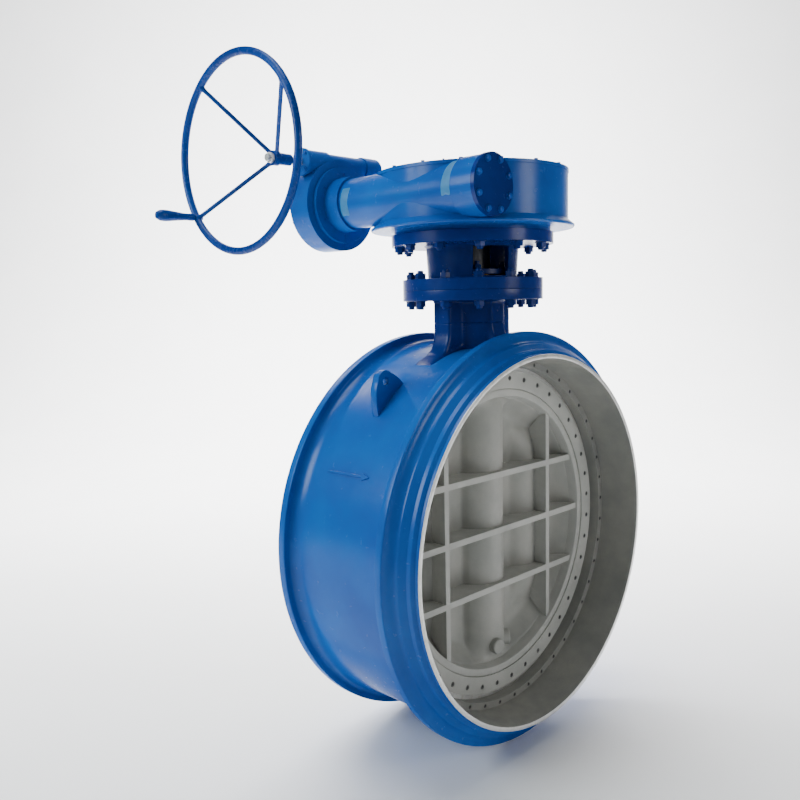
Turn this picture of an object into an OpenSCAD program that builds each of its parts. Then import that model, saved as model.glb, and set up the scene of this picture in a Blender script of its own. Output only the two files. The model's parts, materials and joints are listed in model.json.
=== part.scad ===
// Butterfly valve with weld ends and a two-stage worm gear operator.
// Z is the stem axis, Y is the pipe axis, and the flow runs towards -Y.
// The origin is the centre of the inlet weld face.

/* [Body] */
// Bore radius at the weld ends
bore_r = 597; // [592:1:600]
// Distance from weld face to weld face
face_to_face = 594; // [594:2:620]
// Outer radius of the barrel between its rings
barrel_r = 636; // [630:1:642]
// Outer radius of the front shoulder ring
front_ring_r = 683; // [678:1:688]
// Outer radius of the rear shoulder ring
rear_ring_r = 675; // [670:1:682]
// Radius of the neck column
neck_r = 100; // [98:1:104]
// Radius of the neck flange pair
neck_flange_r = 236; // [230:1:240]

/* [Disc] */
// Radius of the ball surface that seal and seat share
ball_r = 564; // [562:1:565]
// Outer radius of the seal retainer ring
retainer_r = 549; // [545:1:549]
// Thickness of the rib plates
rib_t = 20; // [14:1:24]
// Number of retainer screws
retainer_screw_count = 40; // [20:1:44]
// Number of seat clamp screws
clamp_screw_count = 44; // [22:1:48]

/* [Stem] */
// Radius of the stem
stem_r = 60; // [56:1:60]

/* [Gear operator] */
// Outer radius of the gear drum
drum_r = 319; // [316:1:322]
// Teeth of the main worm wheel
main_teeth = 40; // [40:1:40]
// Teeth of the input worm wheel
small_teeth = 40; // [40:1:40]
// Outer radius of the main worm tube
worm_tube_r = 84; // [82:1:86]

/* [Handwheel] */
// Radius of the rim centre line
wheel_r = 305; // [295:1:315]
// Radius of the rim tube
rim_r = 12.5; // [11:0.5:14]
// Radius of the spokes
spoke_r = 7; // [6:0.5:8]

/* [Hidden] */
$fn = 96;
half = face_to_face / 2;
blue = [0.02, 0.42, 0.85];
deep = [0.05, 0.14, 0.45];
grey = [0.52, 0.53, 0.50];
steel = [0.70, 0.71, 0.73];
bronze = [0.72, 0.52, 0.25];
// worm axis and the second stage
wx = -240.8; wz = 1122.8; tube_flat_z = 1205.6;
sy = 429.4; sz = 1263.9;
// main gear pair: module from the wheel's pitch radius
mr = 190; mp = 2 * PI * mr / main_teeth; mworm = -wx - mr;
// input gear pair, worm with two starts
nr = 120; np = 2 * PI * nr / small_teeth; nworm = sz - wz - nr;
hx = -637; hub_x = -490;
spokes = [51.5, 142.5, -37.5];
crank_a = -36;
neck_top = 821.5;

module at_stem() { translate([0, -half, 0]) children(); }
module revolve_y(pts) { rotate([-90, 0, 0]) rotate_extrude() polygon(pts); }
module ring_y(ro, ri, y1, y2) {
  translate([0, y1, 0]) rotate([-90, 0, 0]) difference() {
    cylinder(r = ro, h = y2 - y1);
    translate([0, 0, -1]) cylinder(r = ri, h = y2 - y1 + 2);
  }
}
module cyl_y(r, y1, y2) { translate([0, y1, 0]) rotate([-90, 0, 0]) cylinder(r = r, h = y2 - y1); }
module cyl_x(r, x1, x2) { translate([x1, 0, 0]) rotate([0, 90, 0]) cylinder(r = r, h = x2 - x1); }
module ring_x(ro, ri, x1, x2) { difference() { cyl_x(ro, x1, x2); cyl_x(ri, x1 - 1, x2 + 1); } }
module ring_z(ro, ri, z1, z2) {
  difference() {
    translate([0, 0, z1]) cylinder(r = ro, h = z2 - z1);
    translate([0, 0, z1 - 1]) cylinder(r = ri, h = z2 - z1 + 2);
  }
}
module cyl_z(r, z1, z2) { translate([0, 0, z1]) cylinder(r = r, h = z2 - z1); }
// children repeated on a circle in the XZ plane
module around_y(n, r, a0 = 0) {
  for (i = [0:n - 1]) translate([r * cos(a0 + i * 360 / n), 0, r * sin(a0 + i * 360 / n)]) children();
}
module around_z(n, r, a0 = 0) {
  for (i = [0:n - 1]) translate([r * cos(a0 + i * 360 / n), r * sin(a0 + i * 360 / n), 0]) children();
}
module around_x(n, r, a0 = 0) {
  for (i = [0:n - 1]) translate([0, r * cos(a0 + i * 360 / n), r * sin(a0 + i * 360 / n)]) children();
}
module hex_z(af, z1, z2) { translate([0, 0, z1]) cylinder(d = af / cos(30), h = z2 - z1, $fn = 6); }
module hex_y(af, y1, y2) { translate([0, y1, 0]) rotate([-90, 0, 0]) cylinder(d = af / cos(30), h = y2 - y1, $fn = 6); }
module hex_x(af, x1, x2) { translate([x1, 0, 0]) rotate([0, 90, 0]) cylinder(d = af / cos(30), h = x2 - x1, $fn = 6); }
// quarter arc of a fillet between two points, hollow towards the corner
function fillet(ra, ya, rb, yb, n = 7) =
  [for (i = [0:n]) let (t = 90 * i / n) [rb + (ra - rb) * (1 - sin(t)), ya + (yb - ya) * (1 - cos(t))]];
function rev(v) = [for (i = [len(v) - 1:-1:0]) v[i]];

// ---------------------------------------------------------------- body
body_outer = concat(
  [[611, -half], [612, -half + 13], [625, -half + 19], [626, -half + 33], [648, -half + 55], [662, -220],
   [front_ring_r - 3, -220], [front_ring_r, -217], [front_ring_r, -196], [front_ring_r - 2, -194]],
  fillet(660, -194, barrel_r, -158),
  rev(fillet(656, 217, barrel_r, 184)),
  [[rear_ring_r - 2, 217], [rear_ring_r, 219], [rear_ring_r, 245], [rear_ring_r - 2, 247], [655, 247],
   [628, half - 22], [614, half - 12], [611, half]]);
body_inner = [[bore_r, half], [bore_r, half - 30], [590, 152], [572, 108], [572, -88], [590, -88], [590, -152], [bore_r, 30 - half], [bore_r, -half]];
module lug(a) {
  rotate([0, -a, 0]) translate([barrel_r - 6, 24, 0]) rotate([90, 0, 0]) linear_extrude(26) difference() {
    union() {
      translate([60.5, 0]) circle(r = 34);
      polygon([[0, -52], [20, -51], [44, -44], [66.4, -33.5], [83.3, 25.2], [14, 88], [0, 94]]);
    }
    translate([60.5, 0]) circle(r = 13);
  }
}
module neck_web(r1, z1, r2, z2) {
  rotate([90, 0, 0]) linear_extrude(70, center = true)
    polygon(concat([[0, 560], [r1, 560]], [for (p = fillet(r1, z1, r2, z2, 8)) p], [[r2, 788], [0, 788]]));
}
module body_casting() at_stem() color(blue) difference() {
  union() {
    revolve_y(concat(body_outer, [[580, half], [580, -half]]));
    cyl_z(neck_r, 575, neck_top - 20);
    cyl_z(neck_flange_r, 787, neck_top);
    neck_web(236, 596, 163, 690);
    mirror([1, 0, 0]) neck_web(236, 596, 163, 690);
    rotate([0, 0, 90]) neck_web(160, 640, 105, 715);
    rotate([0, 0, -90]) neck_web(160, 640, 105, 715);
    cyl_z(122, -655, -590);
    lug(128);
    mirror([1, 0, 0]) lug(128);
  }
  revolve_y(concat([[0, -half - 1], [bore_r, -half - 1]], rev(body_inner), [[bore_r, half + 1], [0, half + 1]]));
  cyl_z(72, 500, 701);
  cyl_z(85, 700, 900);
  cyl_z(72, -700, -500);
  around_z(12, 208, 15) cyl_z(10.6, 780, 830);
  around_z(4, 101, 48) cyl_z(8.1, 770, 830);
  around_z(8, 98, 22.5) cyl_z(6.1, -660, -632);
  around_y(clamp_screw_count, 579, 2) cyl_y(4.1, -89, -70);
}
// points on the shared ball surface, given as radius and position along Y
function ball(r, y1, y2, n = 4) = [for (i = [0:n]) let (y = y1 + (y2 - y1) * i / n) [sqrt(r * r - y * y), y]];
module seat_ring() at_stem() color(steel) difference() {
  revolve_y(concat([[589.8, -88], [589.8, -112]], ball(ball_r + 0.34, -112, -88)));
  around_y(clamp_screw_count, 579, 2) cyl_y(4.3, -113, -87);
}
module seat_clamp_ring() at_stem() color(grey) difference() {
  ring_y(589.8, 566, -152, -112);
  around_y(clamp_screw_count, 579, 2) { cyl_y(4.3, -153, -111); cyl_y(7.2, -153, -144); }
}
module seat_clamp_screws() at_stem() color(steel) around_y(clamp_screw_count, 579, 2) difference() {
  union() { cyl_y(7, -151.5, -144); cyl_y(4, -144.5, -72); }
  hex_y(6, -152, -147);
}
module flow_arrow() at_stem() color(blue) intersection() {
  ring_y(barrel_r + 4, barrel_r, -80, 120);
  rotate([0, -154.5, 0]) translate([600, 0, 0]) rotate([0, 90, 0]) rotate([0, 0, -90]) linear_extrude(60)
    polygon([[-112, -3.5], [44, -3.5], [44, -11], [72, 0], [44, 11], [44, 3.5], [-112, 3.5]]);
}
module lower_bush() at_stem() color(bronze) ring_z(71.9, stem_r + 0.06, -638, -574);
module upper_bush() at_stem() color(bronze) ring_z(71.9, stem_r + 0.06, 576, 699);
module thrust_disc() at_stem() color(bronze) cyl_z(71, -655, -640.05);
module bottom_gasket() at_stem() color([0.2, 0.2, 0.2]) difference() {
  ring_z(119, 76, -657, -655);
  around_z(8, 98, 22.5) cyl_z(6.6, -658, -654);
}
module bottom_cover() at_stem() color(blue) difference() {
  union() { cyl_z(120, -671, -657); cyl_z(71, -657.5, -655); }
  around_z(8, 98, 22.5) cyl_z(6.6, -672, -656);
}
module bottom_cover_bolts() at_stem() color(steel) around_z(8, 98, 22.5) union() { hex_z(19, -678.5, -671); cyl_z(6, -671.5, -634); }
module packing_rings() at_stem() color([0.16, 0.16, 0.17]) for (i = [0:4]) ring_z(84.9, stem_r + 0.08, 701 + i * 18, 718.9 + i * 18);
module gland_bush() at_stem() color(bronze) ring_z(84.8, stem_r + 0.3, 791, 872);
module gland_flange() at_stem() color(deep) difference() {
  ring_z(120, stem_r + 2, 872, 888);
  around_z(4, 101, 48) cyl_z(8.6, 860, 900);
}
module gland_studs() at_stem() color(bronze) around_z(4, 101, 48) cyl_z(8, 772, 914);
module gland_nuts() at_stem() color(bronze) around_z(4, 101, 48) difference() { hex_z(24, 888, 902); cyl_z(8.02, 880, 910); }
module neck_studs() at_stem() color(steel) around_z(12, 208, 15) cyl_z(10, 760, 886);
module neck_nuts() at_stem() color(deep) around_z(12, 208, 15) difference() {
  union() { hex_z(30, 858.2, 877); hex_z(30, 768, 786.9); }
  cyl_z(10.02, 750, 900);
}
module yoke() at_stem() color(blue) difference() {
  rotate_extrude() polygon([[neck_flange_r, neck_top], [neck_flange_r, 858], [156, 858], [150, 864], [156, 962],
    [164, 969], [271, 969], [271, 1006], [128, 1006], [128, neck_top]]);
  rotate([0, 0, 65]) translate([-260, -64, 866]) cube([520, 128, 95]);
  around_z(12, 208, 15) cyl_z(10.6, 820, 860);
  around_z(12, 244, 15) cyl_z(10.6, 960, 1010);
}
module yoke_bolts() at_stem() color(deep) around_z(12, 244, 15) union() { hex_z(30, 952, 968.9); cyl_z(10, 943, 1030); }

// ---------------------------------------------------------------- gear operator, fixed parts
module at_worm() { translate([wx, 0, wz]) children(); }
module at_input() { translate([0, sy, sz]) children(); }
module gear_housing() at_stem() color(blue) difference() {
  union() {
    rotate_extrude() polygon([[0, 1006.2], [262, 1006.2], [262, 1020], [337, 1020], [340, 1024], [340, 1028],
      [drum_r + 3, 1043], [drum_r, 1046], [drum_r, 1196], [0, 1196]]);
    at_worm() { cyl_y(worm_tube_r, -215, 330); cyl_y(90, -268, -188); cyl_y(92, 306, 369); cyl_y(129, 368.2, 383.2); }
  }
  cyl_z(303, 1050, 1200);
  cyl_z(86, 1000, 1060);
  cyl_z(321.3, tube_flat_z, 1216);
  at_worm() { cyl_y(66, -270, 258); cyl_y(40, 250, 390); cyl_y(93, -330, -268); }
  around_z(12, 244, 15) cyl_z(10.1, 1000, 1034);
  around_z(16, 311, 11.25) cyl_z(3.6, 1172, 1212);
  at_worm() around_y(8, 77, 22.5) cyl_y(5.1, -270, -240);
  at_worm() around_y(6, 104, 30) cyl_y(5.1, 366, 386);
  at_worm() translate([0, 75, 0]) cyl_z(4.1, 60, 90);
  at_worm() translate([0, -88, 0]) cyl_z(4.1, 60, 90);
}
module gear_cover() at_stem() color(blue) difference() {
  union() { cyl_z(321, 1196.2, 1207); ring_z(104, 86.1, 1184, 1197); }
  cyl_z(16, 1180, 1210);
  at_worm() intersection() {
    union() { cyl_y(worm_tube_r + 0.1, -330, 330); cyl_y(90.1, -290, -187.9); }
    translate([-200, -400, -100]) cube([400, 800, tube_flat_z + 0.1 - wz + 100]);
  }
  at_worm() for (y = [75, -88]) translate([0, y, 0]) cyl_z(12, 60, 90);
  around_z(16, 311, 11.25) cyl_z(4.2, 1190, 1210);
}
module gear_cover_bolts() at_stem() color(steel) around_z(16, 311, 11.25) union() { hex_z(11, 1207, 1212.3); cyl_z(3.5, 1175, 1207.5); }
module wheel_bushes() at_stem() color(bronze) { ring_z(85.9, 75, 1010, 1054); ring_z(86, 75, 1184, 1196); }
module grease_nipples() at_stem() color(bronze) for (y = [75, -88]) at_worm() translate([0, y, 0]) difference() {
  union() { cyl_z(4, 68, 92); hex_z(14, tube_flat_z + 0.1 - wz, 90); cyl_z(3.2, 90, 98); }
  cyl_z(1, 94, 99);
}
module worm_end_cap() at_stem() at_worm() color(blue) difference() {
  union() { cyl_y(92.5, -282.6, -268.2); cyl_y(65.8, -269, -262.2); }
  around_y(8, 77, 22.5) cyl_y(5.6, -290, -260);
}
module worm_end_cap_bolts() at_stem() at_worm() color(steel) around_y(8, 77, 22.5) union() { hex_y(17, -289, -282.6); cyl_y(5, -283, -242); }
module worm_bearings() at_stem() at_worm() color(steel) { ring_y(65.9, 25.04, -262, -240); ring_y(65.9, 25.04, 232, 257.8); }
module input_housing() at_stem() color(blue) difference() {
  union() {
    at_worm() cyl_y(154.8, 383.4, 466);
    at_input() {
      cyl_x(37, -360, -50);
      cyl_x(42, -368, -276);
      cyl_x(42, -107, -42);
      translate([-42, 0, 0]) rotate([0, 90, 0]) rotate_extrude() polygon(concat([[0, -1], [42, -1]], [for (i = [0:6]) [28 + 14 * cos(i * 15), 14 * sin(i * 15)]], [[0, 14]]));
    }
  }
  at_worm() { cyl_y(140, 397, 470); cyl_y(40, 380, 400); around_y(6, 104, 30) cyl_y(5.4, 380, 400); rear_bolt_places() cyl_y(3.1, 446, 470); }
  at_input() cyl_x(30, -370, -50);
  at_input() around_x(4, 36, 45) cyl_x(3.1, -370, -350);
}
// six places round the rear cover, none over the input shaft
module rear_bolt_places() for (a = [157.5:45:385]) translate([147.4 * cos(a), 0, 147.4 * sin(a)]) children();
module input_joint_screws() at_stem() at_worm() color(steel) around_y(6, 104, 30) union() { cyl_y(5, 369, 397.5); hex_y(16, 397, 403); }
module input_rear_cover() at_stem() at_worm() color(blue) difference() {
  union() { cyl_y(154.8, 466.2, 475.5); cyl_y(139.8, 460, 466.5); cyl_y(44, 455.5, 462); cyl_y(36, 475, 484); }
  cyl_y(30, 454, 480);
  translate([0, 0, sz - wz]) translate([-wx, 0, 0]) translate([0, sy, 0]) { cyl_x(42.2, -370, -275); cyl_x(37.2, -370, -40); cyl_x(42.2, -108, -20); }
  rear_bolt_places() cyl_y(3.6, 460, 480);
}
module input_rear_cover_bolts() at_stem() at_worm() color(steel) rear_bolt_places() union() { hex_y(10, 475.5, 480); cyl_y(3, 448, 476); }
module input_end_flange() at_stem() at_input() color(blue) difference() {
  cyl_x(46, -379, -368.2);
  cyl_x(12.3, -380, -360);
  around_x(4, 36, 45) cyl_x(3.6, -380, -360);
}
module input_end_flange_bolts() at_stem() at_input() color(steel) around_x(4, 36, 45) union() { hex_x(10, -383.5, -379); cyl_x(3, -379.5, -352); }
module input_bearings() at_stem() color(steel) {
  at_input() { ring_x(29.9, 12.03, -366, -344); ring_x(29.9, 12.03, -76, -52); }
  at_worm() ring_y(29.9, 20.04, 456, 479.5);
}

// ---------------------------------------------------------------- disc and stem, turning together
pan = [[0, -14], [395, -14], [458, -88], [465, -121]];
module side_bulges() { for (s = [-1, 1]) translate([s * 262, 18, 0]) cyl_z(62, -300, 300); }
// two round bosses near the lower end of the hub
module hub_bosses() { for (a = [-98, -45]) translate([0, 0, -405]) rotate([0, 0, a]) rotate([0, 90, 0]) translate([0, 0, 70]) cylinder(r = 27, h = 48); }
module hub_space() { cyl_z(98, -455, 455); cyl_z(88, -600, 600); hub_bosses(); }
module disc_casting() at_stem() color(grey) difference() {
  union() {
    revolve_y(concat([[0, 14]], pan, [[487, -121], [490, -118], [490, -96.5], [546, -96.5], [546, -58], [528, -42], [470, -28], [420, 14]]));
    intersection() { side_bulges(); cyl_y(455, -60, 60); }
  }
  hub_space();
  around_y(retainer_screw_count, 525, 4.5) cyl_y(5.1, -100, -82);
}
module rib_room() { revolve_y([[0, -14], [395, -14], [458, -88], [463.3, -113], [0, -113]]); }
module upright_plates(t) { for (x = [-278, 278]) translate([x - t / 2, -120, -470]) cube([t, 110, 940]); }
module disc_ribs_upright() at_stem() color(grey) difference() {
  intersection() { upright_plates(rib_t); rib_room(); }
  side_bulges();
}
module disc_ribs_level() at_stem() color(grey) difference() {
  intersection() {
    for (z = [-190, 5, 198]) translate([-470, -113, z - rib_t / 2]) cube([940, 99, rib_t]);
    rib_room();
  }
  upright_plates(rib_t);
  hub_space();
  side_bulges();
}
module disc_hub() at_stem() color(grey) difference() {
  union() { cyl_z(98, -455, 455); cyl_z(88, -552, 552); hub_bosses(); }
  cyl_z(stem_r + 0.05, -560, 560);
  for (z = [-380, 380]) translate([0, 0, z]) rotate([0, 90, 0]) cylinder(r = 18, h = 300, center = true);
}
module disc_pins() at_stem() color(steel) for (z = [-380, 380]) translate([0, 0, z]) rotate([0, 90, 0]) cylinder(r = 17.95, h = 186, center = true);
module seal_gasket() at_stem() color([0.2, 0.2, 0.2]) difference() {
  ring_y(547, 490.2, -97.9, -96.6);
  around_y(retainer_screw_count, 525, 4.5) cyl_y(5.4, -99, -95);
}
module seal_pack() at_stem() color(steel) difference() {
  revolve_y(concat([[490.2, -98], [490.2, -112]], ball(ball_r, -112, -98)));
  around_y(retainer_screw_count, 525, 4.5) cyl_y(5.4, -113, -97);
}
module seal_retainer_ring() at_stem() color(grey) difference() {
  ring_y(retainer_r, 490.4, -124, -112.1);
  around_y(retainer_screw_count, 525, 4.5) { cyl_y(5.4, -125, -111); cyl_y(9, -125, -117); }
}
module retainer_screws() at_stem() color(steel) around_y(retainer_screw_count, 525, 4.5) difference() {
  union() { cyl_y(8.8, -123.6, -117); cyl_y(5, -117.5, -84); }
  hex_y(7, -124, -119.5);
}
module key_space() translate([stem_r - 11, -16, 1080]) cube([22, 32, 92]);
module stem() at_stem() color(steel) difference() {
  union() { cyl_z(stem_r, -640, 1190); cyl_z(15, 1189, 1216); }
  for (z = [-380, 380]) translate([0, 0, z]) rotate([0, 90, 0]) cylinder(r = 18, h = 300, center = true);
  key_space();
}
module stem_key() at_stem() color(steel) translate([stem_r - 10.9, -15.9, 1080.1]) cube([21.8, 31.8, 91.8]);
// straight teeth, turned by the lead angle, on a blank
module worm_wheel_teeth(n, r, p, lead_a, b, add, ded) {
  h = 0.21 * p;
  for (i = [0:n - 1]) rotate([0, 0, i * 360 / n]) translate([r, 0, 0]) rotate([-lead_a, 0, 0])
    linear_extrude(b, center = true) polygon([[-ded - 3, -h - ded * 0.364], [-ded, -h - ded * 0.364],
      [add, -h + add * 0.364], [add, h - add * 0.364], [-ded, h + ded * 0.364], [-ded - 3, h + ded * 0.364]]);
}
module main_worm_wheel() at_stem() color(bronze) difference() {
  union() {
    translate([0, 0, wz]) worm_wheel_teeth(main_teeth, mr, mp, atan(mp / (2 * PI * mworm)), 60, 8.5, 11.4);
    difference() {
      cyl_z(mr - 11.4, wz - 30, wz + 30);
      cyl_z(158, wz - 31, wz - 12);
      cyl_z(158, wz + 12, wz + 31);
    }
    cyl_z(100, 1064, 1176);
    cyl_z(74.94, 1008, 1194);
  }
  cyl_z(stem_r + 0.05, 1000, 1200);
  key_space();
}
module position_pointer() at_stem() color([0.85, 0.2, 0.1]) difference() {
  union() { cyl_z(26, 1208, 1215); translate([0, -9, 1208]) cube([120, 18, 7]); }
  cyl_z(15.05, 1200, 1220);
}
// helical thread ridge about Z: p axial pitch, lead per turn, inner and outer radius, turned from a0
module thread(rin, rp, rout, p, lead, z1, z2, z0) {
  h = 0.21 * p; st = 24;
  hi = h + (rp - rin) * 0.364; ho = h - (rout - rp) * 0.364;
  k1 = ceil((z1 - z0) / lead * st); k2 = floor((z2 - z0) / lead * st); n = k2 - k1;
  pts = [for (k = [k1:k2]) let (a = k * 360 / st, z = z0 + lead * k / st, c = cos(a), s = sin(a))
    each [[rin * c, rin * s, z - hi], [rout * c, rout * s, z - ho], [rout * c, rout * s, z + ho], [rin * c, rin * s, z + hi]]];
  faces = concat([[0, 1, 2], [0, 2, 3]], [for (i = [0:n - 1]) each [for (j = [0:3]) each
    [[4 * i + j, 4 * i + 4 + j, 4 * i + 4 + (j + 1) % 4], [4 * i + j, 4 * i + 4 + (j + 1) % 4, 4 * i + (j + 1) % 4]]]],
    [[4 * n + 3, 4 * n + 2, 4 * n + 1], [4 * n + 3, 4 * n + 1, 4 * n]]);
  polyhedron(pts, faces, convexity = 8);
}
module main_worm_shaft() at_stem() at_worm() color(steel) difference() {
  union() {
    cyl_y(25, -262, 455); cyl_y(32, -236, 228); cyl_y(38.2, -90, 90); cyl_y(20, 454, 474);
  }
  small_key_space();
}
module main_worm_thread() at_stem() at_worm() color(steel)
  rotate([-90, 0, 0]) thread(38.6, mworm, mworm + 7.7, mp, mp, -76, 76, mp / 2);
module small_key_space() translate([-5, 408, 20]) cube([10, 42, 9.6]);
module small_worm_wheel() at_stem() at_worm() color(bronze) difference() {
  rotate([-90, 0, 0]) translate([0, 0, sy]) union() {
    worm_wheel_teeth(small_teeth, nr, np, atan(2 * np / (2 * PI * nworm)), 28, 5.2, 7.2);
    difference() {
      cylinder(r = nr - 7.2, h = 28, center = true);
      for (z = [-14, 14]) translate([0, 0, z]) cylinder(r = 98, h = 14, center = true);
    }
    cylinder(r = 44, h = 46, center = true);
  }
  cyl_y(25.05, 400, 460);
  small_key_space();
}
module small_wheel_key() at_stem() at_worm() color(steel) translate([-4.95, 408.1, 20.1]) cube([9.9, 41.8, 9.4]);
module input_worm_shaft() at_stem() at_input() color(steel) difference() {
  union() { cyl_x(12, -522, -50); cyl_x(13.7, -340, -80); }
  wheel_key_space();
}
module input_worm_thread() at_stem() at_input() color(steel) for (k = [0, 1])
  translate([wx, 0, 0]) rotate([0, 90, 0]) thread(13.86, nworm, nworm + 5.2, np, 2 * np, -52, 52, np / 2 + k * np);
module wheel_key_space() translate([-494, -4, 8.5]) cube([60, 8, 7]);
module handwheel() at_stem() at_input() color(deep) difference() {
  union() {
    translate([hx, 0, 0]) rotate([0, 90, 0]) rotate_extrude() translate([wheel_r, 0]) circle(r = rim_r);
    cyl_x(19, -500, -424);
    cyl_x(24, -500, -478);
    for (b = spokes) translate([hub_x, 0, 0]) rotate([0, 90, 0]) rotate([0, 0, b + 90]) translate([15, 0, 0])
      rotate([0, atan2(wheel_r - 15, hx - hub_x), 0]) cylinder(r = spoke_r, h = norm([wheel_r - 15, hx - hub_x]));
  }
  cyl_x(12.03, -510, -400);
  wheel_key_space();
  translate([0, wheel_r * cos(crank_a), wheel_r * sin(crank_a)]) cyl_x(6.1, hx - 20, hx + 20);
}
module handwheel_key() at_stem() at_input() color(steel) translate([-493.9, -3.9, 8.6]) cube([59.8, 7.8, 6.8]);
module handwheel_nut() at_stem() at_input() color(steel) difference() { hex_x(30, -514, -500.1); cyl_x(12.02, -530, -490); }
module at_crank() { translate([0, wheel_r * cos(crank_a), wheel_r * sin(crank_a)]) children(); }
module crank_pin() at_stem() at_input() at_crank() color(steel) { cyl_x(6, -786, hx + 15); cyl_x(8.5, hx + 13, hx + 20); cyl_x(9, -789, -785); }
module crank_grip() at_stem() at_input() at_crank() color(deep) difference() {
  translate([hx - 15, 0, 0]) rotate([0, -90, 0]) rotate_extrude() polygon([[0, 0], [9, 0], [12, 4], [13, 12], [10.5, 26],
    [9.5, 44], [10.5, 62], [14, 80], [17.5, 96], [19, 112], [18, 126], [14, 134], [11, 136], [0, 136]]);
  cyl_x(6.06, -800, hx);
  cyl_x(9.4, -800, -784.9);
}

body_casting();
seat_ring();
seat_clamp_ring();
seat_clamp_screws();
flow_arrow();
lower_bush();
thrust_disc();
bottom_gasket();
bottom_cover();
bottom_cover_bolts();
upper_bush();
packing_rings();
gland_bush();
gland_flange();
gland_studs();
gland_nuts();
neck_studs();
neck_nuts();
yoke();
yoke_bolts();
gear_housing();
gear_cover();
gear_cover_bolts();
wheel_bushes();
grease_nipples();
worm_end_cap();
worm_end_cap_bolts();
worm_bearings();
input_housing();
input_joint_screws();
input_rear_cover();
input_rear_cover_bolts();
input_end_flange();
input_end_flange_bolts();
input_bearings();
disc_casting();
disc_ribs_upright();
disc_ribs_level();
disc_hub();
disc_pins();
seal_gasket();
seal_pack();
seal_retainer_ring();
retainer_screws();
stem();
stem_key();
main_worm_wheel();
position_pointer();
main_worm_shaft();
main_worm_thread();
small_worm_wheel();
small_wheel_key();
input_worm_shaft();
input_worm_thread();
handwheel();
handwheel_key();
handwheel_nut();
crank_pin();
crank_grip();
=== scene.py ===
"""Worm gear operated butterfly valve with weld ends: pieces, finishes, floor, light and camera."""
import json
import logging
import math
from dataclasses import dataclass
from enum import Enum
from typing import Iterable, Sequence

import bmesh
import bpy
import numpy as np
from mathutils import Matrix, Vector

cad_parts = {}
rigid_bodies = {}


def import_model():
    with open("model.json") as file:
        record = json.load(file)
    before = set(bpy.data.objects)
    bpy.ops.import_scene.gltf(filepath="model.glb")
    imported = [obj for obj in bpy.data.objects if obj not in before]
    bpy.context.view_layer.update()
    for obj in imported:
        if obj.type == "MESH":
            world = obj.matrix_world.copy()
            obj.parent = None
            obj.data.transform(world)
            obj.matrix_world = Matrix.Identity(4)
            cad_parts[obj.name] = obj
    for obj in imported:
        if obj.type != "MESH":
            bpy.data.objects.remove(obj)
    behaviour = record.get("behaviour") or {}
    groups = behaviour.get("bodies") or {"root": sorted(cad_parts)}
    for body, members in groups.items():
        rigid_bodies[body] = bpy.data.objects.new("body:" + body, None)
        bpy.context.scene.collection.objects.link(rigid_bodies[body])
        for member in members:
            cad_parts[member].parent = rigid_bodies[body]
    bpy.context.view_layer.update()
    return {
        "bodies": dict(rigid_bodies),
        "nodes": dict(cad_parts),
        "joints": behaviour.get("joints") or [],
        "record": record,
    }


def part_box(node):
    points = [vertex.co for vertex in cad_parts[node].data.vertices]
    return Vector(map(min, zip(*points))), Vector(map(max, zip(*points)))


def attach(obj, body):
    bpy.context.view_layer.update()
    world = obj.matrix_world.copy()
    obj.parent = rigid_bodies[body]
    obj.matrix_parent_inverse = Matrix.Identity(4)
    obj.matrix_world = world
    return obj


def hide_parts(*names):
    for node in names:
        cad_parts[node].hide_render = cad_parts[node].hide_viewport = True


LOG = logging.getLogger("butterfly_valve")
Array = np.ndarray
Socket = bpy.types.NodeSocket
Point = tuple[float, float, float]


class Axis(Enum):
    """The axis that a turned piece is turned about."""

    X = "x"
    Y = "y"
    Z = "z"


class Body(Enum):
    """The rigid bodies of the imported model."""

    VALVE = "valve_body"
    DISC = "disc_and_stem"
    INPUT = "input_shaft"
    CRANK = "crank_handle"


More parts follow.
